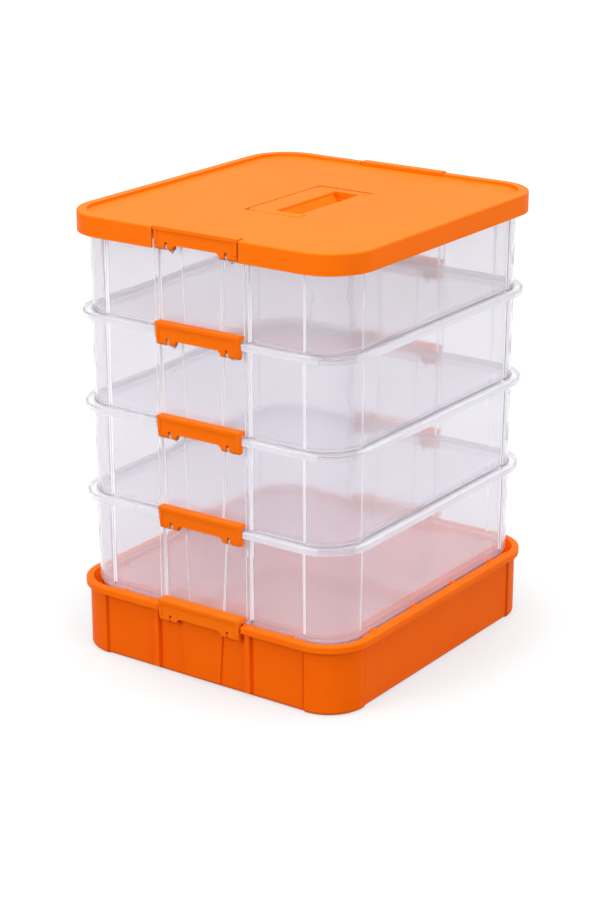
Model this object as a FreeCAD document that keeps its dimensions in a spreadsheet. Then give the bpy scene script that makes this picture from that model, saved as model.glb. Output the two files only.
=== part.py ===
import FreeCAD, Part
import math
import os
import re
import Sketcher

# Stacking craft box: an orange base tray, four clear bins and an orange lid with a folding
# handle. Wherever one tier sits on another there is a hinged latch at the front and one at the
# rear. Millimetres, +Z up, the front faces -Y, the origin is under the middle of the base.

SIZES = {
    # clear bins
    "bin_rim_width": 295.0,
    "bin_rim_depth": 320.0,
    "bin_rim_radius": 41.0,
    "bin_overhang": 7.0,
    "bin_wall_radius": 36.0,
    "bin_wall": 2.0,
    "bin_floor": 2.0,
    "bin_pitch": 83.5,
    "deep_bin_pitch": 86.5,
    "bin_foot_rounding": 1.0,
    "nest_depth": 6.0,
    "nest_clearance": 0.5,
    # base tray
    "base_rim_width": 302.0,
    "base_rim_depth": 327.0,
    "base_rim_radius": 43.0,
    "base_overhang": 4.25,
    "base_wall_radius": 38.0,
    "base_wall": 2.5,
    "base_floor": 2.5,
    "base_height": 66.0,
    "base_edge_rounding": 4.0,
    "seat_rib_thickness": 2.5,
    "seat_rib_bearing": 6.0,
    "seat_rib_stop": 1.0,
    # walls and rims of every tub
    "wall_draft": 1.0,
    "panel_recess": 1.5,
    "panel_step": 1.6,
    "rim_height": 6.0,
    "rim_flange": 2.0,
    "rim_lip": 2.0,
    "rim_rounding": 1.2,
    "latch_gap": 90.6,
    "rib_width": 5.0,
    "bin_rib_spacing": 94.0,
    "base_rib_spacing": 100.0,
    "rib_proud": 3.5,
    "pad_top_width": 46.7,
    "pad_foot_width": 37.6,
    "pad_proud": 1.7,
    "catch_width": 59.0,
    "catch_proud": 2.7,
    "catch_lift": 0.3,
    "catch_height": 1.6,
    # latches and their hinges
    "pivot_inset": 2.0,
    "pivot_drop": 11.8,
    "latch_width": 86.6,
    "latch_rise": 17.4,
    "latch_plate": 2.0,
    "latch_flange": 3.4,
    "latch_flange_width": 88.6,
    "latch_lip": 1.2,
    "latch_clearance": 0.3,
    "latch_end_width": 3.0,
    "latch_end_proud": 0.8,
    "latch_end_start": 3.0,
    "latch_end_top": 1.0,
    "knuckle_radius": 3.0,
    "leg_gap": 48.8,
    "arch_rise": 2.5,
    "arch_slope": 3.0,
    "slot_spacing": 62.4,
    "slot_width": 3.0,
    "web_thickness": 2.6,
    "web_nose_radius": 2.4,
    "web_gusset": 7.0,
    "latch_pin_radius": 1.1,
    "latch_pin_length": 12.0,
    # lid
    "lid_skirt_wall": 2.0,
    "lid_clearance": 0.5,
    "lid_radius": 43.0,
    "lid_rise": 4.5,
    "lid_drop": 14.0,
    "lid_panel": 2.0,
    "lid_border": 9.0,
    "lid_border_wall": 2.0,
    "lid_rounding": 1.5,
    "lid_plug_depth": 4.0,
    "lid_plug_wall": 2.0,
    # handle and the well that it folds into
    "handle_length": 112.0,
    "handle_width": 57.0,
    "handle_centre": 3.0,
    "handle_thickness": 6.0,
    "handle_radius": 7.0,
    "handle_rounding": 1.5,
    "grip_width": 25.0,
    "arm_width": 10.0,
    "lip_reach": 10.5,
    "lip_edge": 2.5,
    "lip_end_gap": 1.0,
    "handle_side_gap": 0.6,
    "handle_end_gap": 2.5,
    "handle_seat_gap": 0.2,
    "well_wall": 2.0,
    "well_depth": 20.0,
    "well_under_grip": 13.0,
    "well_margin": 3.0,
    "well_radius": 6.0,
    "shelf_radius": 2.0,
    "handle_pin_radius": 1.5,
    "handle_boss_length": 8.0,
    "handle_boss_wall": 2.5,
    # fits shared by every hinge, and how far a cut runs past a face
    "running_clearance": 0.05,
    "press_clearance": 0.01,
    "overrun": 2.0,
}

# Depth below a rounded edge, as a share of its radius, at which a slope of 45 degrees that runs
# off the rounding crosses the upright through its centre
TANGENT_SHARE = 2 - math.sqrt(2)

# Places of the seat ribs along each inner wall of the base, as shares of its rim
SEAT_RIB_SHARES = (-0.3, -0.1, 0.1, 0.3)

doc = FreeCAD.newDocument("craft_storage_box")
sheet = doc.addObject("Spreadsheet::Sheet", "dims")
for row, (alias, value) in enumerate(SIZES.items(), start=1):
    sheet.set(f"A{row}", alias)
    sheet.set(f"B{row}", str(value))
    sheet.setAlias(f"B{row}", alias)
doc.recompute()

parts = []


def linked(expression):
    """Point every size name in an expression at its cell of the sheet."""
    return re.sub(r"[a-z][a-z_]+", lambda word: f"dims.{word.group()}", expression)


def number(expression):
    """Work out an expression of size names as a plain number."""
    value = sheet.evalExpression(linked(expression))
    return getattr(value, "Value", value)


def minus(expression):
    return f"-({expression})"


def new_body(label):
    body = doc.addObject("PartDesign::Body", label)
    body.Label = label
    parts.append(body)
    return body


def place(piece, x="0", y="0", z="0", turn=(FreeCAD.Vector(0, 0, 1), 0)):
    """Put a piece in the stack at a place given by expressions, turned about an axis."""
    piece.Placement = FreeCAD.Placement(FreeCAD.Vector(), FreeCAD.Rotation(*turn))
    for axis, expression in zip("xyz", (x, y, z)):
        piece.setExpression(f"Placement.Base.{axis}", linked(expression))


def new_sketch(body, plane, offset="0"):
    """Start a sketch on one of the body's origin planes, shifted along its normal."""
    sketch = body.newObject("Sketcher::SketchObject", f"{body.Label}_sketch")
    support = next(f for f in body.Origin.OriginFeatures if f.Role == plane)
    sketch.AttachmentSupport = [(support, "")]
    sketch.MapMode = "FlatFace"
    sketch.setExpression("AttachmentOffset.Base.z", linked(offset))
    return sketch


def hold(sketch, geometry, point, x, y):
    """Dimension one point of a sketch from the origin by two expressions."""
    for kind, axis, expression in (("DistanceX", -2, x), ("DistanceY", -1, y)):
        value = number(expression)
        if value == 0:
            sketch.addConstraint(Sketcher.Constraint("PointOnObject", geometry, point, axis))
            continue
        index = sketch.addConstraint(Sketcher.Constraint(kind, -1, 1, geometry, point, value))
        sketch.setExpression(f"Constraints[{index}]", linked(expression))


def hold_radius(sketch, geometry, radius):
    index = sketch.addConstraint(Sketcher.Constraint("Radius", geometry, number(radius)))
    sketch.setExpression(f"Constraints[{index}]", linked(radius))


def arc_between(start, stop, radius):
    """Anticlockwise arc of less than half a turn from one point to another."""
    chord = stop - start
    inward = FreeCAD.Vector(-chord.y, chord.x).normalize()
    rise = math.sqrt(radius**2 - (chord.Length / 2) ** 2)
    centre = (start + stop) / 2 + inward * rise
    first = math.atan2(start.y - centre.y, start.x - centre.x)
    last = math.atan2(stop.y - centre.y, stop.x - centre.x)
    if last < first:
        last += 2 * math.pi
    return Part.ArcOfCircle(Part.Circle(centre, FreeCAD.Vector(0, 0, 1), radius), first, last)


def outline(sketch, corners):
    """Close an outline through corners (x, y). A third entry is the radius of an arc that
    leads on to the next corner, anticlockwise."""
    points = [FreeCAD.Vector(number(corner[0]), number(corner[1])) for corner in corners]
    edges = []
    for corner, start, stop in zip(corners, points, points[1:] + points[:1]):
        if len(corner) == 3:
            edge = arc_between(start, stop, number(corner[2]))
        else:
            edge = Part.LineSegment(start, stop)
        edges.append(sketch.addGeometry(edge))
    for edge, following in zip(edges, edges[1:] + edges[:1]):
        sketch.addConstraint(Sketcher.Constraint("Coincident", edge, 2, following, 1))
    for edge, corner in zip(edges, corners):
        hold(sketch, edge, 1, corner[0], corner[1])
        if len(corner) == 3:
            hold_radius(sketch, edge, corner[2])


def circle(sketch, x, y, radius):
    centre = FreeCAD.Vector(number(x), number(y))
    edge = sketch.addGeometry(Part.Circle(centre, FreeCAD.Vector(0, 0, 1), number(radius)))
    hold_radius(sketch, edge, radius)
    hold(sketch, edge, 3, x, y)


def rectangle(x_low, x_high, y_low, y_high):
    return [(x_low, y_low), (x_high, y_low), (x_high, y_high), (x_low, y_high)]


def rounded(x_low, x_high, y_low, y_high, radius):
    """Rectangle with quarter-round corners, anticlockwise."""
    left, right = f"{x_low} + {radius}", f"{x_high} - ({radius})"
    front, rear = f"{y_low} + {radius}", f"{y_high} - ({radius})"
    return [
        (x_high, rear, radius), (right, y_high),
        (left, y_high, radius), (x_low, rear),
        (x_low, front, radius), (left, y_low),
        (right, y_low, radius), (x_high, front),
    ]


def centred(x_half, y_half, radius):
    return rounded(minus(x_half), x_half, minus(y_half), y_half, radius)


def panelled(x_half, y_half, radius):
    """Wall outline: round corner columns with a slanted step in to each flat panel."""
    x_flat, y_flat = f"{x_half} - ({radius})", f"{y_half} - ({radius})"
    x_panel, y_panel = f"{x_half} - panel_recess", f"{y_half} - panel_recess"
    x_step, y_step = f"{x_flat} - panel_step", f"{y_flat} - panel_step"
    return [
        (x_panel, y_step), (x_half, y_flat, radius),
        (x_flat, y_half), (x_step, y_panel),
        (minus(x_step), y_panel), (minus(x_flat), y_half, radius),
        (minus(x_half), y_flat), (minus(x_panel), y_step),
        (minus(x_panel), minus(y_step)), (minus(x_half), minus(y_flat), radius),
        (minus(x_flat), minus(y_half)), (minus(x_step), minus(y_panel)),
        (x_step, minus(y_panel)), (x_flat, minus(y_half), radius),
        (x_half, minus(y_flat)), (x_panel, minus(y_step)),
    ]


def volume(body):
    doc.recompute()
    return body.Shape.Volume if body.Tip else 0


def pad(body, sketch, length, backward=False):
    """Raise a sketch along its normal, or against it, and see that the piece grew."""
    before = volume(body)
    feature = body.newObject("PartDesign::Pad", f"{body.Label}_pad")
    feature.Profile = sketch
    feature.Reversed = backward
    feature.setExpression("Length", linked(length))
    if volume(body) <= before:
        raise RuntimeError(f"a pad of {body.Label} adds nothing")


def pocket(body, sketch, length, backward=False):
    """Cut a sketch against its normal, or along it, and see that the piece shrank."""
    before = volume(body)
    feature = body.newObject("PartDesign::Pocket", f"{body.Label}_pocket")
    feature.Profile = sketch
    feature.Reversed = backward
    feature.setExpression("Length", linked(length))
    if volume(body) >= before:
        raise RuntimeError(f"a pocket of {body.Label} cuts nothing")


def loft(body, kind, lower, upper):
    feature = body.newObject(f"PartDesign::{kind}Loft", f"{body.Label}_loft")
    feature.Profile = lower
    feature.Sections = [upper]
    feature.Ruled = True
    doc.recompute()


def round_edges(body, radius, chosen):
    """Fillet the edges of the piece so far that lie wholly where the test says."""
    doc.recompute()
    base = body.Tip
    names = []
    for index, edge in enumerate(base.Shape.Edges, start=1):
        if all(chosen(point) for point in edge.discretize(5)):
            names.append(f"Edge{index}")
    fillet = body.newObject("PartDesign::Fillet", f"{body.Label}_fillet")
    fillet.Base = (base, names)
    fillet.setExpression("Radius", linked(radius))
    doc.recompute()


def near(value, expression):
    return abs(value - number(expression)) < number("press_clearance")


def on_outline(point, x_half, y_half, radius):
    """True where a point lies on the side of a rounded rectangle about the Z axis."""
    x = max(abs(point.x) - number(f"{x_half} - ({radius})"), 0)
    y = max(abs(point.y) - number(f"{y_half} - ({radius})"), 0)
    return near(math.hypot(x, y), radius)


# Places that several pieces share: the foot that nests in a bin's mouth, the hinge line of a
# tub's latches, the middle of its wall, and the face of the catch below a latch's flange

MOUTH_INSET = "bin_overhang + panel_recess + bin_wall + nest_clearance"
FOOT_X = f"bin_rim_width / 2 - ({MOUTH_INSET})"
FOOT_Y = f"bin_rim_depth / 2 - ({MOUTH_INSET})"
FOOT_RADIUS = "bin_wall_radius - panel_recess - bin_wall - nest_clearance"
CATCH_FACE = "bin_rim_depth / 2 - bin_overhang - panel_recess - wall_draft + catch_proud"


def hinge_line(kind):
    return f"{kind}_rim_depth / 2 - pivot_inset"


def panel_foot(kind, side="depth"):
    """Outer face of a tub's flat wall panel at its foot, from the middle of the tub. The walls of
    a bin lean out by their draft and those of the base stand upright."""
    draft = "wall_draft" if kind == "bin" else "0"
    return f"{kind}_rim_{side} / 2 - {kind}_overhang - panel_recess - {draft}"


# Features that the bins and the base tray have in common

def wall_sketch(body, kind, height, inset):
    """Outline of a tub's wall, drawn a given distance inside its corner columns."""
    x_half = f"{kind}_rim_width / 2 - {kind}_overhang - ({inset})"
    y_half = f"{kind}_rim_depth / 2 - {kind}_overhang - ({inset})"
    sketch = new_sketch(body, "XY_Plane", height)
    outline(sketch, panelled(x_half, y_half, f"{kind}_wall_radius - ({inset})"))
    return sketch


def add_rim(body, kind, top):
    """Rim round a tub: a flat ledge with a turned-down lip, left out behind the latches."""
    x_half, y_half, radius = f"{kind}_rim_width / 2", f"{kind}_rim_depth / 2", f"{kind}_rim_radius"
    underside = f"{top} - rim_height"
    slab = new_sketch(body, "XY_Plane", underside)
    outline(slab, centred(x_half, y_half, radius))
    pad(body, slab, "rim_height")
    groove = new_sketch(body, "XY_Plane", underside)
    outline(groove, centred(f"{x_half} - rim_lip", f"{y_half} - rim_lip", f"{radius} - rim_lip"))
    outline(groove, centred(f"{x_half} - {kind}_overhang", f"{y_half} - {kind}_overhang",
                            f"{kind}_wall_radius"))
    pocket(body, groove, "rim_height - rim_flange", backward=True)
    gaps = new_sketch(body, "XY_Plane", top)
    inner, outer = f"{y_half} - {kind}_overhang - panel_recess", f"{y_half} + overrun"
    for low, high in ((inner, outer), (minus(outer), minus(inner))):
        outline(gaps, rectangle("-latch_gap / 2", "latch_gap / 2", low, high))
    pocket(body, gaps, "rim_height")


def add_ribs(body, kind, foot, top):
    """Upright ribs that flank the latches, two at the front and two at the rear."""
    inner, outer = f"{panel_foot(kind)} - {kind}_wall", f"{panel_foot(kind)} + rib_proud"
    ribs = new_sketch(body, "XY_Plane", foot)
    for middle in (f"-{kind}_rib_spacing / 2", f"{kind}_rib_spacing / 2"):
        for low, high in ((inner, outer), (minus(outer), minus(inner))):
            outline(ribs, rectangle(f"{middle} - rib_width / 2", f"{middle} + rib_width / 2", low, high))
    pad(body, ribs, f"{top} - ({foot})")


def add_pads(body, kind, foot, top):
    """Raised pad that tapers down the wall below each latch."""
    thickness = f"{kind}_wall + pad_proud"
    inner = f"{panel_foot(kind)} - {kind}_wall"
    for offset in (inner, f"-({inner}) - ({thickness})"):
        sketch = new_sketch(body, "XZ_Plane", offset)
        outline(sketch, [("-pad_foot_width / 2", foot), ("pad_foot_width / 2", foot),
                         ("pad_top_width / 2", top), ("-pad_top_width / 2", top)])
        pad(body, sketch, thickness)


def add_webs(body, kind, top):
    """Thin brackets that stand out from the wall and hold the pins of the latches."""
    root, axis_y, axis_z = f"{panel_foot(kind)} - {kind}_wall", hinge_line(kind), f"{top} - pivot_drop"
    above, below = f"{axis_z} + web_nose_radius", f"{axis_z} - web_nose_radius"
    gusset, tip = f"{below} - web_gusset", f"{axis_y} + web_nose_radius"
    for middle in ("-slot_spacing / 2", "slot_spacing / 2"):
        webs = new_sketch(body, "YZ_Plane", f"{middle} - web_thickness / 2")
        outline(webs, [(minus(root), above), (minus(axis_y), above, "web_nose_radius"),
                       (minus(tip), axis_z, "web_nose_radius"), (minus(axis_y), below),
                       (minus(root), gusset)])
        outline(webs, [(root, gusset), (axis_y, below, "web_nose_radius"),
                       (tip, axis_z, "web_nose_radius"), (axis_y, above), (root, above)])
        for hole_y in (axis_y, minus(axis_y)):
            circle(webs, hole_y, axis_z, "latch_pin_radius + press_clearance")
        pad(body, webs, "web_thickness")


def round_rim(body, kind, top):
    """Round the outer edge of the rim's ledge."""
    half = (f"{kind}_rim_width / 2", f"{kind}_rim_depth / 2", f"{kind}_rim_radius")
    round_edges(body, "rim_rounding", lambda point: near(point.z, top) and on_outline(point, *half))


# Clear bins, moulded in one piece, with a stepped foot that nests in the tier below

def make_bin(label, pitch, seat):
    body = new_body(label)
    top = f"{pitch} + nest_depth"
    foot_line = wall_sketch(body, "bin", "nest_depth", "wall_draft")
    loft(body, "Additive", foot_line, wall_sketch(body, "bin", top, "0"))
    foot = new_sketch(body, "XY_Plane")
    outline(foot, centred(FOOT_X, FOOT_Y, FOOT_RADIUS))
    pad(body, foot, "nest_depth")
    round_edges(body, "bin_foot_rounding", lambda point: near(point.z, "0"))
    add_rim(body, "bin", top)
    add_ribs(body, "bin", "nest_depth", top)
    add_pads(body, "bin", "nest_depth", top)
    catches = new_sketch(body, "XY_Plane", "nest_depth + catch_lift")
    root = f"{panel_foot('bin')} - bin_wall"
    for low, high in ((root, CATCH_FACE), (minus(CATCH_FACE), minus(root))):
        outline(catches, rectangle("-catch_width / 2", "catch_width / 2", low, high))
    pad(body, catches, "catch_height")
    add_webs(body, "bin", top)
    floor_line = wall_sketch(body, "bin", "nest_depth + bin_floor", "wall_draft + bin_wall")
    loft(body, "Subtractive", floor_line, wall_sketch(body, "bin", top, "bin_wall"))
    well = new_sketch(body, "XY_Plane", "nest_depth + bin_floor")
    outline(well, centred(f"{FOOT_X} - bin_wall", f"{FOOT_Y} - bin_wall", f"{FOOT_RADIUS} - bin_wall"))
    pocket(body, well, "nest_depth")
    round_rim(body, "bin", top)
    place(body, z=f"{seat} - nest_depth")


# Base tray: a deep open tub with ribs inside its walls, on which the lowest bin stands

def add_seat_ribs(body):
    """Stepped ribs down the inner walls: a seat for the bin's foot and a stop beside it."""
    seat, stop = "base_height - nest_depth", "base_height - seat_rib_stop"
    floor = "base_floor / 2"
    for side, plane, foot in (("depth", "YZ_Plane", FOOT_Y), ("width", "XZ_Plane", FOOT_X)):
        across = "width" if side == "depth" else "depth"
        root = f"{panel_foot('base', side)} - base_wall / 2"
        bearing, guide = f"{foot} - seat_rib_bearing", f"{foot} + nest_clearance"
        profile = [(root, floor), (root, stop), (guide, stop), (guide, seat), (bearing, seat),
                   (bearing, floor)]
        for share in SEAT_RIB_SHARES:
            sketch = new_sketch(body, plane, f"{share} * base_rim_{across} - seat_rib_thickness / 2")
            outline(sketch, profile)
            outline(sketch, [(minus(reach), height) for reach, height in profile])
            pad(body, sketch, "seat_rib_thickness")


def make_base():
    body = new_body("base_tray")
    pad(body, wall_sketch(body, "base", "0", "0"), "base_height")
    round_edges(body, "base_edge_rounding", lambda point: near(point.z, "0"))
    add_rim(body, "base", "base_height")
    add_ribs(body, "base", "base_edge_rounding", "base_height")
    add_pads(body, "base", "base_edge_rounding", "base_height")
    add_webs(body, "base", "base_height")
    pocket(body, wall_sketch(body, "base", "base_height", "base_wall"), "base_height - base_floor")
    add_seat_ribs(body)
    round_rim(body, "base", "base_height")
    place(body)


# Lid: a shallow cap with a raised border, a skirt outside the top bin's rim, a plug inside its
# mouth, and a well for the handle. Its own zero height is the rim that it rests on.

LID_X = "bin_rim_width / 2 + lid_clearance + lid_skirt_wall"
LID_Y = "bin_rim_depth / 2 + lid_clearance + lid_skirt_wall"
HANDLE_LEFT = "handle_centre - handle_width / 2"
HANDLE_RIGHT = "handle_centre + handle_width / 2"
HANDLE_AXIS_X = f"{HANDLE_RIGHT} - handle_thickness / 2"
HANDLE_AXIS_Z = "lid_panel - handle_thickness / 2"
POCKET_Y = "handle_length / 2 + handle_end_gap"
BOSS_END = f"{POCKET_Y} + handle_boss_length"
WELL_Y = "handle_length / 2 - arm_width - well_margin"


def inset_lid(inset):
    return centred(f"{LID_X} - ({inset})", f"{LID_Y} - ({inset})", f"lid_radius - ({inset})")


def add_handle_well(body):
    """Bowl under the panel: a shelf for the handle, a deeper finger well, an island that closes the
    shelf between the arms, and two pin bosses."""
    left, right = f"{HANDLE_LEFT} - handle_side_gap", f"{HANDLE_RIGHT} + handle_side_gap"
    well_left = f"{HANDLE_LEFT} + grip_width - well_under_grip"
    well_right = f"{HANDLE_AXIS_X} - handle_thickness / 2"
    wall = "well_wall"
    levels = ((left, right, POCKET_Y, "shelf_radius", "handle_thickness + handle_seat_gap"),
              (well_left, well_right, WELL_Y, "well_radius", "well_depth"))
    for x_low, x_high, y_half, radius, depth in levels:
        bowl = new_sketch(body, "XY_Plane")
        outline(bowl, rounded(f"{x_low} - {wall}", f"{x_high} + {wall}", f"-({y_half}) - {wall}",
                              f"{y_half} + {wall}", f"{radius} + {wall}"))
        pad(body, bowl, f"{depth} + {wall} - lid_panel", backward=True)
    bosses = new_sketch(body, "XY_Plane")
    boss_half = "handle_pin_radius + handle_boss_wall"
    for low, high in ((POCKET_Y, BOSS_END), (minus(BOSS_END), minus(POCKET_Y))):
        outline(bosses, rectangle(f"{HANDLE_AXIS_X} - ({boss_half})", f"{HANDLE_AXIS_X} + {boss_half}",
                                  low, high))
    pad(body, bosses, f"{boss_half} - ({HANDLE_AXIS_Z})", backward=True)
    for x_low, x_high, y_half, radius, depth in levels:
        hollow = new_sketch(body, "XY_Plane", "lid_panel")
        outline(hollow, rounded(x_low, x_high, minus(y_half), y_half, radius))
        pocket(body, hollow, depth)
    island = new_sketch(body, "XY_Plane", "lid_panel")
    island_y = "handle_length / 2 - arm_width - handle_side_gap"
    outline(island, rectangle(well_right, f"{right} + {wall}", minus(island_y), island_y))
    pad(body, island, "handle_thickness + handle_seat_gap + well_wall", backward=True)
    for offset in (BOSS_END, f"-({POCKET_Y}) + handle_end_gap"):
        bore = new_sketch(body, "XZ_Plane", offset)
        circle(bore, HANDLE_AXIS_X, HANDLE_AXIS_Z, "handle_pin_radius + press_clearance")
        pocket(body, bore, "handle_boss_length + handle_end_gap")


def make_lid(seat):
    body = new_body("lid")
    cap = new_sketch(body, "XY_Plane", "-lid_drop")
    outline(cap, inset_lid("0"))
    pad(body, cap, "lid_drop + lid_rise")
    round_edges(body, "lid_rounding", lambda point: near(point.z, "lid_rise"))
    recess = new_sketch(body, "XY_Plane", "lid_rise")
    outline(recess, inset_lid("lid_border"))
    pocket(body, recess, "lid_rise - lid_panel")
    inside = new_sketch(body, "XY_Plane", "-lid_drop")
    outline(inside, inset_lid("lid_skirt_wall"))
    pocket(body, inside, "lid_drop", backward=True)
    channel = new_sketch(body, "XY_Plane")
    outline(channel, inset_lid("lid_skirt_wall"))
    outline(channel, inset_lid("lid_border - lid_border_wall"))
    pocket(body, channel, "lid_rise - lid_panel", backward=True)
    plug = new_sketch(body, "XY_Plane")
    for inset in ("0", "lid_plug_wall"):
        outline(plug, centred(f"{FOOT_X} - {inset}", f"{FOOT_Y} - {inset}", f"{FOOT_RADIUS} - {inset}"))
    pad(body, plug, "lid_plug_depth", backward=True)
    add_handle_well(body)
    notches = new_sketch(body, "XY_Plane", "lid_rise")
    outside = f"{LID_Y} + overrun"
    for low, high in ((CATCH_FACE, outside), (minus(outside), minus(CATCH_FACE))):
        outline(notches, rectangle("-latch_gap / 2", "latch_gap / 2", low, high))
    pocket(body, notches, "lid_rise + lid_drop")
    place(body, z=seat)


# Carrying handle: a flat U whose two arms turn on pins at the ends of the well. A lip slopes from
# the grip down into the well, so that fingers hook under it.

def make_handle(seat):
    body = new_body("carry_handle")
    end, inner = "handle_length / 2", "handle_length / 2 - arm_width"
    grip = f"{HANDLE_LEFT} + grip_width"
    bend_x, bend_y = f"{HANDLE_LEFT} + handle_radius", f"{end} - handle_radius"
    bail = new_sketch(body, "XY_Plane", "lid_panel - handle_thickness")
    outline(bail, [
        (HANDLE_AXIS_X, minus(end)), (HANDLE_AXIS_X, minus(inner)), (grip, minus(inner)),
        (grip, inner), (HANDLE_AXIS_X, inner), (HANDLE_AXIS_X, end),
        (bend_x, end, "handle_radius"), (HANDLE_LEFT, bend_y),
        (HANDLE_LEFT, minus(bend_y), "handle_radius"), (bend_x, minus(end)),
    ])
    pad(body, bail, "handle_thickness")
    round_edges(body, "handle_rounding",
                lambda point: point.x < number(f"{grip} + press_clearance")
                and (near(point.z, "lid_panel") or near(point.z, "lid_panel - handle_thickness")))
    lip_y = f"{WELL_Y} - lip_end_gap"
    lip = new_sketch(body, "XZ_Plane", minus(lip_y))
    lip_x, lip_z = f"{grip} - handle_rounding", f"lid_panel - {TANGENT_SHARE} * handle_rounding"
    tip_x, tip_z = f"{lip_x} + lip_reach", f"{lip_z} - lip_reach"
    outline(lip, [(lip_x, lip_z), (f"{lip_x} - lip_edge", "lid_panel - handle_thickness"),
                  (f"{tip_x} - lip_edge", tip_z), (tip_x, tip_z)])
    pad(body, lip, f"2 * ({lip_y})")
    for offset in (inner, minus(end)):
        knuckle = new_sketch(body, "XZ_Plane", offset)
        circle(knuckle, HANDLE_AXIS_X, HANDLE_AXIS_Z, "handle_thickness / 2")
        pad(body, knuckle, "arm_width")
    for offset in (end, minus(inner)):
        bore = new_sketch(body, "XZ_Plane", offset)
        circle(bore, HANDLE_AXIS_X, HANDLE_AXIS_Z, "handle_pin_radius + running_clearance")
        pocket(body, bore, "arm_width")
    place(body, z=seat)


def make_pins(label, radius, length, turn, places):
    """Two like pins in one piece, each given by the place of the end that it starts from."""
    pins = []
    for x, y, z in places:
        pin = doc.addObject("Part::Cylinder", f"{label}_pin")
        pin.setExpression("Radius", linked(radius))
        pin.setExpression("Height", linked(length))
        place(pin, x, y, z, turn)
        pins.append(pin)
    pair = doc.addObject("Part::Compound", label)
    pair.Label = label
    pair.Links = pins
    parts.append(pair)


# Latches: an orange bar hinged on the tier below, whose flange closes over the tier above

def make_latch(label, kind, tier_top, rear):
    body = new_body(label)
    half, radius = "latch_width / 2", "knuckle_radius"
    plate = new_sketch(body, "XZ_Plane", f"{radius} - latch_plate")
    outline(plate, [
        (minus(half), "0"), ("-leg_gap / 2", "0"), ("-leg_gap / 2 + arch_slope", "arch_rise"),
        ("leg_gap / 2 - arch_slope", "arch_rise"), ("leg_gap / 2", "0"), (half, "0"),
        (half, "latch_rise"), (minus(half), "latch_rise"),
    ])
    pad(body, plate, "latch_plate")
    flange = new_sketch(body, "XY_Plane", "latch_rise - latch_flange")
    reach = f"{hinge_line(kind)} - ({CATCH_FACE}) - latch_clearance"
    outline(flange, rectangle("-latch_flange_width / 2", "latch_flange_width / 2",
                              f"-{radius} - latch_lip", reach))
    pad(body, flange, "latch_flange")
    front = f"-{radius} - latch_end_proud"
    for start in (f"{half} - latch_end_width", minus(half)):
        end = new_sketch(body, "YZ_Plane", start)
        outline(end, [
            (f"-{radius}", "0"), (radius, "0"), ("latch_end_top", "latch_rise"), (front, "latch_rise"),
            (front, "latch_end_start"), (f"-{radius}", "latch_end_start - latch_end_proud"),
        ])
        pad(body, end, "latch_end_width")
    for start in ("leg_gap / 2", minus(half)):
        knuckle = new_sketch(body, "YZ_Plane", start)
        circle(knuckle, "0", "0", radius)
        pad(body, knuckle, f"{half} - leg_gap / 2")
    slots = new_sketch(body, "XZ_Plane", f"{radius} + overrun")
    slot_top = "web_nose_radius + latch_clearance"
    for middle in ("-slot_spacing / 2", "slot_spacing / 2"):
        left, right = f"{middle} - slot_width / 2", f"{middle} + slot_width / 2"
        bottom = f"-{radius} - overrun"
        outline(slots, [(left, bottom), (right, bottom), (right, slot_top, "slot_width / 2"),
                        (middle, f"{slot_top} + slot_width / 2", "slot_width / 2"), (left, slot_top)])
    pocket(body, slots, f"2 * ({radius} + overrun)")
    bore_length = "latch_pin_length + latch_clearance"
    for start in (f"leg_gap / 2 + {bore_length}", "-leg_gap / 2"):
        bore = new_sketch(body, "YZ_Plane", start)
        circle(bore, "0", "0", "latch_pin_radius + running_clearance")
        pocket(body, bore, bore_length)
    axis_y, axis_z = hinge_line(kind), f"{tier_top} - pivot_drop"
    place(body, y=axis_y if rear else minus(axis_y), z=axis_z,
          turn=(FreeCAD.Vector(0, 0, 1), 180 if rear else 0))


def make_latch_pins(label, kind, tier_top, rear):
    axis_y, axis_z = hinge_line(kind), f"{tier_top} - pivot_drop"
    y = axis_y if rear else minus(axis_y)
    starts = ("leg_gap / 2", "-leg_gap / 2 - latch_pin_length")
    make_pins(label, "latch_pin_radius", "latch_pin_length", (FreeCAD.Vector(0, 1, 0), 90),
              [(x, y, axis_z) for x in starts])


# The stack, from the floor up; tiers and latches are numbered from the lid down

DEEP_BIN_TOP = "base_height + deep_bin_pitch"
TIER_TOPS = {
    1: f"{DEEP_BIN_TOP} + 3 * bin_pitch",
    2: f"{DEEP_BIN_TOP} + 2 * bin_pitch",
    3: f"{DEEP_BIN_TOP} + bin_pitch",
    4: DEEP_BIN_TOP,
    5: "base_height",
}

make_base()
for tier in (4, 3, 2, 1):
    make_bin(f"bin_{tier}", "deep_bin_pitch" if tier == 4 else "bin_pitch", TIER_TOPS[tier + 1])
make_lid(TIER_TOPS[1])
make_handle(TIER_TOPS[1])
pin_z = f"{TIER_TOPS[1]} + {HANDLE_AXIS_Z}"
make_pins("handle_pins", "handle_pin_radius", "handle_boss_length + handle_end_gap + arm_width",
          (FreeCAD.Vector(1, 0, 0), -90),
          [(HANDLE_AXIS_X, minus(BOSS_END), pin_z),
           (HANDLE_AXIS_X, "handle_length / 2 - arm_width", pin_z)])
for tier, top in TIER_TOPS.items():
    tub = "base" if tier == 5 else "bin"
    for side in ("front", "rear"):
        make_latch(f"{side}_latch_{tier}", tub, top, side == "rear")
        make_latch_pins(f"{side}_latch_pins_{tier}", tub, top, side == "rear")

doc.recompute()
for item in doc.Objects:
    if "Invalid" in item.State or "Error" in item.State:
        raise RuntimeError(f"{item.Label} failed: {item.State}")
for piece in parts:
    if piece.Shape.isNull() or not piece.Shape.isValid():
        raise RuntimeError(f"{piece.Label} has no valid shape")

os.makedirs("parts", exist_ok=True)
for piece in parts:
    piece.Shape.exportStep(f"parts/{piece.Label}.step")
    print(piece.Label, len(piece.Shape.Solids), round(piece.Shape.Volume))
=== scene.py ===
import math

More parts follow.
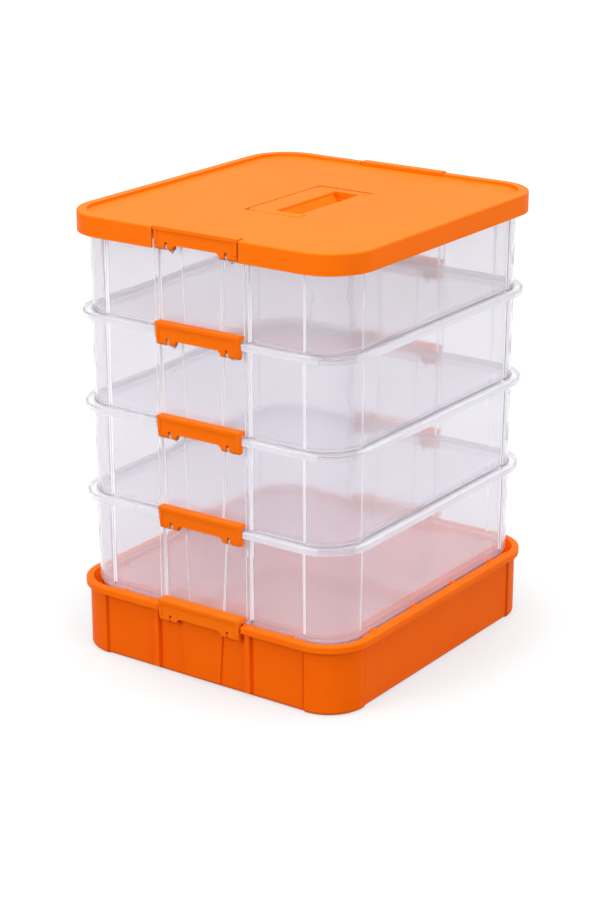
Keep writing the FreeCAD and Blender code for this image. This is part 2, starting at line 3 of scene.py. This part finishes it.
import bpy
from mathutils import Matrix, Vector

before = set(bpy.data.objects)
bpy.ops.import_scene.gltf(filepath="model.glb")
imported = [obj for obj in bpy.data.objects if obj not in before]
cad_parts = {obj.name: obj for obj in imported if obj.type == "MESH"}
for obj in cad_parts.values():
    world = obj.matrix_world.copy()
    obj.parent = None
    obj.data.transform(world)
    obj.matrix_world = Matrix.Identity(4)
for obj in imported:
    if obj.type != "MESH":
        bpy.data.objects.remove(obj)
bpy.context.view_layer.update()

# Base tray: one deep injection moulding in orange polypropylene, standing on its flat floor. It
# carries the whole stack, and its rim, ribs and hinge brackets come out of the same mould.


class Link:
    """An output socket of a node tree. A sum, difference or product of links and numbers adds the
    Math nodes that work it out."""

    def __init__(self, tree, socket=None):
        self.tree = tree
        self.socket = socket

    def node(self, kind, settings, values, output=0):
        """Add a node of one kind: its settings first, then the values or links of its sockets,
        by name or number. Gives the link of one of its outputs."""
        made = self.tree.nodes.new("ShaderNode" + kind)
        for name, setting in settings.items():
            if name == "stops":
                stops = made.color_ramp.elements
                while len(stops) < len(setting):
                    stops.new(0.5)
                for stop, (place, colour) in zip(stops, setting):
                    stop.position, stop.color = place, colour
            else:
                setattr(made, name, setting)
        for name, value in values.items():
            if isinstance(value, Link):
                self.tree.links.new(value.socket, made.inputs[name])
            else:
                made.inputs[name].default_value = value
        return Link(self.tree, made.outputs[output] if made.outputs else None)

    def other(self, output):
        """Another output of the node that this link comes from."""
        return Link(self.tree, self.socket.node.outputs[output])

    def work_out(self, operation, *values):
        return self.node("Math", {"operation": operation}, dict(enumerate(values)))

    def __add__(self, other):
        return self.work_out("ADD", self, other)

    def __radd__(self, other):
        return self.work_out("ADD", other, self)

    def __sub__(self, other):
        return self.work_out("SUBTRACT", self, other)

    def __rsub__(self, other):
        return self.work_out("SUBTRACT", other, self)

    def __mul__(self, other):
        return self.work_out("MULTIPLY", self, other)

    def __rmul__(self, other):
        return self.work_out("MULTIPLY", other, self)

    def beyond(self, limit):
        """1 where the value is over a limit, and 0 elsewhere."""
        return self.work_out("GREATER_THAN", self, limit)

    def near(self, middle, reach):
        """1 where the value is within reach of a middle, and 0 elsewhere."""
        return self.work_out("COMPARE", self, middle, reach)


def from_middle(place):
    """How far a point is from the object's middle along X and along Y, and its height."""
    x = place.node("SeparateXYZ", {}, {0: place})
    return (place.work_out("ABSOLUTE", x), place.work_out("ABSOLUTE", x.other("Y")), x.other("Z"))


def new_finish(name):
    """A bare material, and the link that its nodes grow from."""
    material = bpy.data.materials.new(name)
    material.use_nodes = True
    material.node_tree.nodes.clear()
    return material, Link(material.node_tree)


def mixed_colour(start, share, first, second):
    """The first colour, with a share of the second."""
    return start.node("Mix", {"data_type": "RGBA"}, {0: share, 6: first, 7: second}, 2)


def orange_polypropylene(name, deep, light, steps=None):
    """Solid orange between a deep and a light shade, as the melt flowed unevenly, with the fine
    spark texture of the mould as bump and a satin gloss that varies slightly over the surface.
    Where steps are given, the rim above them is painted lighter, as painted light, and the bottom
    of each step darker, as painted shade."""
    material, start = new_finish(name)
    place = start.node("TexCoord", {}, {}, "Object")
    flow = start.node("TexNoise", {}, {
        "Vector": place, "Scale": 16.0, "Detail": 3.0, "Roughness": 0.55})
    spark = start.node("TexNoise", {}, {"Vector": place, "Scale": 1500.0, "Detail": 2.0})
    scuff = start.node("TexNoise", {}, {
        "Vector": place, "Scale": 90.0, "Detail": 4.0, "Roughness": 0.7})
    # Painted light and shade: the rim is painted lighter, and a thin line along the bottom of each
    # corner step is painted darker.
    if steps:
        across, along, height = from_middle(place)
        rim = height.beyond(steps["rim_underside"])
        painted_step_shade = (1 - rim) * (
            across.near(steps["across"], steps["reach"]) * along.beyond(steps["front_wall"])
            + along.near(steps["along"], steps["reach"]) * across.beyond(steps["side_wall"]))
        melt_flow_and_painted_rim_light = steps["flow_share"] * flow + steps["painted_rim_light_share"] * rim
        colour = mixed_colour(start, steps["painted_step_shade_share"] * painted_step_shade,
                              mixed_colour(start, melt_flow_and_painted_rim_light, deep, light), steps["painted_step_shade_colour"])
    else:
        colour = mixed_colour(start, flow, deep, light)
    grain = start.node("Bump", {}, {"Strength": 0.30, "Distance": 0.0003, "Height": spark})
    body = start.node("BsdfPrincipled", {}, {
        "Base Color": colour, "Roughness": 0.36 + 0.14 * scuff, "Normal": grain, "IOR": 1.49,
        "Specular IOR Level": 0.045})
    start.node("OutputMaterial", {}, {"Surface": body})
    return material


def ease_edges(node, radius):
    """Round a CAD node's sharp edges as the mould does: merge its loose triangles, bevel every
    edge sharper than 35 degrees and shade the rest smooth, all by modifiers."""
    merge_distance, sharp_angle = 2e-6, math.radians(35)
    weld = node.modifiers.new("merge", "WELD")
    weld.merge_threshold = merge_distance
    bevel = node.modifiers.new("mould_radius", "BEVEL")
    bevel.width = radius
    bevel.segments = 2
    bevel.limit_method = "ANGLE"
    bevel.angle_limit = sharp_angle
    bevel.use_clamp_overlap = False
    bevel.loop_slide = False
    bevel.miter_outer = "MITER_ARC"
    node.modifiers.new("even_shading", "WEIGHTED_NORMAL")


def finish_node(name, material, radius=None):
    """Give a CAD node its material, and round its edges where a radius is given."""
    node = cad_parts[name]
    node.data.materials.clear()
    node.data.materials.append(material)
    if radius:
        ease_edges(node, radius)


# The tray's corner steps and rim, and how much painted light and shade they get: the rim above its
# underside is painted lighter, and the bottom of the corner steps on the front and sides darker.
tray_steps_and_painted_light = {
    "across": 0.10795, "along": 0.12045, "reach": 0.0012,
    "front_wall": 0.155, "side_wall": 0.143, "rim_underside": 0.0598,
    "flow_share": 0.7, "painted_rim_light_share": 0.45,
    "painted_step_shade_share": 0.9, "painted_step_shade_colour": (0.70, 0.075, 0.0006, 1.0),
}
tray_orange_with_painted_light = orange_polypropylene(
    "orange_polypropylene", (0.90, 0.112, 0.0008, 1.0), (0.97, 0.162, 0.0025, 1.0), tray_steps_and_painted_light)
finish_node("base_tray", tray_orange_with_painted_light)

# Clear bins: four open tubs in clear polypropylene with a slight lavender haze, each moulded in
# one piece. A bin nests by its stepped foot in the mouth of the tier below.

bin_edge_radius = 0.0005
front_wall, side_wall = 0.1492, 0.1365
proud_across, proud_along, proud_fade = 0.1425, 0.1555, 0.002
latch_gap = 0.046
lowest_rim, tier_pitch, rim_band = 0.1455, 0.0835, 0.0075
# Where the painted highlight lines run: the sides of the ribs and of the pads, and the corner steps
# on the front and the sides.
rib_edges, rib_edge_reach = (0.0445, 0.0495), 0.0006
pad_foot_edge, pad_taper, pad_edge_reach = 0.0184, 0.0545, 0.0006
step_edges_across, step_edges_along = (0.1029, 0.1045), (0.1154, 0.1170)
step_edge_reach = 0.0005


def clear_polypropylene_with_painted_highlights(name):
    """Clear plastic that bends light as it passes through, with a milkiness that varies with the
    flow of the melt and is thicker in the rims and brackets that stand out from the walls. Thin
    lines along the sides of the ribs and the pads and along the corner steps are painted whiter and
    milkier, as painted highlights."""
    material, start = new_finish(name)
    place = start.node("TexCoord", {}, {}, "Object")
    flow = start.node("TexNoise", {}, {
        "Vector": place, "Scale": 22.0, "Detail": 3.0, "Roughness": 0.6})
    ripple = start.node("TexNoise", {}, {"Vector": place, "Scale": 45.0, "Detail": 2.0})
    wave = start.node("Bump", {}, {"Strength": 0.08, "Distance": 0.0004, "Height": ripple})
    gloss = 0.02 + 0.04 * flow

    across, along, height = from_middle(place)
    front, side = along.beyond(front_wall), across.beyond(side_wall)
    proud = start.node("MapRange", {}, {
        "Value": start.work_out("MAXIMUM", across - proud_across, along - proud_along),
        "From Min": 0.0, "From Max": proud_fade, "To Min": 0.0, "To Max": 1.0})
    rim = proud * across.beyond(latch_gap)
    over_rim = start.work_out("FLOORED_MODULO", height - lowest_rim, tier_pitch)
    painted_rib_highlight = across.near(rib_edges[0], rib_edge_reach) + across.near(rib_edges[1], rib_edge_reach)
    painted_pad_highlight = (across - pad_taper * over_rim).near(pad_foot_edge, pad_edge_reach)
    painted_front_step_highlight, painted_side_step_highlight = [
        distance.near(pair[0], step_edge_reach) + distance.near(pair[1], step_edge_reach)
        for distance, pair in ((across, step_edges_across), (along, step_edges_along))]
    # Painted highlights: thin whiter, milkier lines where the ribs, pads and corner steps meet the
    # walls.
    painted_edge_highlights = over_rim.beyond(rim_band) * (front * (painted_rib_highlight + painted_pad_highlight + painted_front_step_highlight) + side * painted_side_step_highlight)

    glassy = start.node("BsdfPrincipled", {}, {
        "Base Color": (0.90, 0.885, 0.92, 1.0), "Roughness": gloss, "Normal": wave,
        "IOR": 1.49, "Transmission Weight": 1.0})
    milky_colour_with_painted_highlights = mixed_colour(start, painted_edge_highlights, (0.80, 0.79, 0.83, 1.0), (0.95, 0.945, 0.97, 1.0))
    milky = start.node("BsdfPrincipled", {}, {
        "Base Color": milky_colour_with_painted_highlights, "Roughness": gloss, "Normal": wave, "IOR": 1.49})
    # The milky share: milkiness from the melt and in the rims, plus the painted highlight lines.
    haze_and_painted_highlights = 0.10 + 0.08 * flow + 0.26 * rim + 0.65 * painted_edge_highlights
    body = start.node("MixShader", {}, {0: haze_and_painted_highlights, 1: glassy, 2: milky})
    shadow = start.node("LightPath", {}, {}, "Is Shadow Ray")
    clear = start.node("BsdfTransparent", {}, {"Color": (0.95, 0.945, 0.96, 1.0)})
    surface = start.node("MixShader", {}, {0: shadow, 1: body, 2: clear})
    start.node("OutputMaterial", {}, {"Surface": surface})
    return material


clear_plastic_with_painted_highlights = clear_polypropylene_with_painted_highlights("clear_polypropylene_with_painted_highlights")
for tier in (4, 3, 2, 1):
    finish_node(f"bin_{tier}", clear_plastic_with_painted_highlights, bin_edge_radius)

# Lid: an orange cap in the same polypropylene, a little lighter than the tray, whose skirt drops
# over the rim of the top bin. A border runs round its top, and a well in the middle takes the
# handle.

lid_orange = orange_polypropylene(
    "lid_orange_polypropylene", (0.90, 0.150, 0.0020, 1.0), (0.96, 0.172, 0.0030, 1.0))
finish_node("lid", lid_orange)

# Carry handle: a flat loop moulded in the lid's orange, which folds flush into the well. It turns
# on two plain steel pins, which are pressed into bosses under the lid.

pin_edge_radius = 0.0002


def steel_darkened_as_painted_shade(name):
    """Drawn steel wire: fine lines along its length, X or Y, in the roughness and the bump. Its
    colour is darker than plain steel, as painted shade, so that the pins look shaded inside the
    latch slots.
    """
    material, start = new_finish(name)
    place = start.node("TexCoord", {}, {}, "Object")
    drawn = start.node("Mapping", {}, {"Vector": place, "Scale": (400.0, 400.0, 9000.0)})
    lines = start.node("TexNoise", {}, {"Vector": drawn, "Scale": 1.0, "Detail": 2.0})
    bump = start.node("Bump", {}, {"Strength": 0.1, "Distance": 0.00005, "Height": lines})
    body = start.node("BsdfPrincipled", {}, {
        "Base Color": (0.26, 0.25, 0.25, 1.0), "Metallic": 1.0,
        "Roughness": 0.22 + 0.16 * lines, "Normal": bump})
    start.node("OutputMaterial", {}, {"Surface": body})
    return material


finish_node("carry_handle", lid_orange)
# The pins' steel is painted darker than plain steel, as painted shade for the latch slots.
steel = steel_darkened_as_painted_shade("pin_steel")
finish_node("handle_pins", steel, pin_edge_radius)

# Latches: an orange clip at the front and rear of every tier, moulded in the lid's orange. Each
# turns on two short steel pins, which are pressed into brackets on the tier below, and its flange
# reaches over the edge of the tier above.

latch_edge_radius = 0.0002

for tier in (1, 2, 3, 4, 5):
    for end in ("front", "rear"):
        finish_node(f"{end}_latch_{tier}", lid_orange, latch_edge_radius)
        finish_node(f"{end}_latch_pins_{tier}", steel)

# Studio: a white paper floor that runs on into a white surround, a wide soft box overhead, a soft
# key from the front left, a weaker fill from the right and the weakest behind. The floor and the
# surround show white to the eye and in reflections without lighting the object more.

scene = bpy.context.scene
floor_reach, floor_drop = 12.0, 0.0002
floor_mesh = bpy.data.meshes.new("studio_floor")
floor_mesh.from_pydata([(-floor_reach, -floor_reach, 0), (floor_reach, -floor_reach, 0),
                        (floor_reach, floor_reach, 0), (-floor_reach, floor_reach, 0)],
                       [], [(0, 1, 2, 3)])
floor = bpy.data.objects.new("studio_floor", floor_mesh)
floor.location.z = -floor_drop
scene.collection.objects.link(floor)


def seen_rays(start):
    """1 for rays from the camera, mirrored or let through by the object, and 0 for light."""
    camera_ray = start.node("LightPath", {}, {}, "Is Camera Ray")
    bent = start.work_out("MAXIMUM", camera_ray.other("Is Glossy Ray"),
                          camera_ray.other("Is Transmission Ray"))
    return start.work_out("MAXIMUM", camera_ray, bent)


white = (1.0, 1.0, 1.0, 1.0)
paper, start = new_finish("white_paper")
matt = start.node("BsdfDiffuse", {}, {"Color": (0.25, 0.25, 0.25, 1.0)})
place = start.node("TexCoord", {}, {}, "Object")
away = start.node("VectorMath", {"operation": "LENGTH"}, {0: place}, "Value")
glow_by_half_metres = ((0.085, 0.61), (0.135, 0.75), (0.30, 0.80), (1.0, 0.96))
fade = start.node("ValToRGB", {
    "stops": [(half, (level, level, level, 1.0)) for half, level in glow_by_half_metres]},
    {0: 0.5 * away})
glow = start.node("Emission", {}, {"Color": white, "Strength": fade * seen_rays(start)})
start.node("OutputMaterial", {}, {"Surface": start.node("AddShader", {}, {0: matt, 1: glow})})
floor_mesh.materials.append(paper)

world = bpy.data.worlds.new("white_surround")
scene.world = world
world.use_nodes = True
world.node_tree.nodes.clear()
start = Link(world.node_tree)
around = start.node("Background", {}, {
    "Color": white, "Strength": 0.5 + 0.5 * seen_rays(start)})
start.node("OutputWorld", {}, {"Surface": around})


def soft_box(name, size, place, power):
    """Square lamp of a given size, turned to face the middle of the stack. It lights and is
    mirrored, but clear walls don't show it through them."""
    middle_of_stack = Vector((0.0, 0.0, 0.2))
    lamp = bpy.data.lights.new(name, "AREA")
    lamp.shape = "SQUARE"
    lamp.size = size
    lamp.energy = power
    box = bpy.data.objects.new(name, lamp)
    box.visible_camera = False
    box.visible_transmission = False
    box.location = place
    box.rotation_euler = (middle_of_stack - Vector(place)).to_track_quat("-Z", "Y").to_euler()
    scene.collection.objects.link(box)


soft_box("overhead", 1.6, (0.1, -0.2, 2.0), 34.0)
soft_box("key", 1.2, (-0.9, -1.9, 1.1), 24.0)
soft_box("fill", 1.2, (1.9, -0.6, 0.9), 15.0)
soft_box("rear", 1.4, (1.3, 1.9, 0.9), 9.0)

# Camera: a long lens, well above the height of the lid and looking down at the stack. It is turned
# to show the front and the right side.

turn, rise, distance = math.radians(35.1), math.radians(18.99), 2.1057
aim = Vector((-0.0069, 0.0, 0.1714))
camera_data = bpy.data.cameras.new("camera")
camera_data.lens = 92.0
camera_data.sensor_width = 36.0
camera_data.clip_start = 0.05
camera = bpy.data.objects.new("camera", camera_data)
back = Vector((math.sin(turn) * math.cos(rise), -math.cos(turn) * math.cos(rise), math.sin(rise)))
camera.location = aim + distance * back
camera.rotation_euler = back.to_track_quat("Z", "Y").to_euler()
scene.collection.objects.link(camera)
scene.camera = camera

scene.view_settings.view_transform = "Standard"
scene.cycles.max_bounces = 32
scene.cycles.transmission_bounces = 32
scene.cycles.transparent_max_bounces = 64
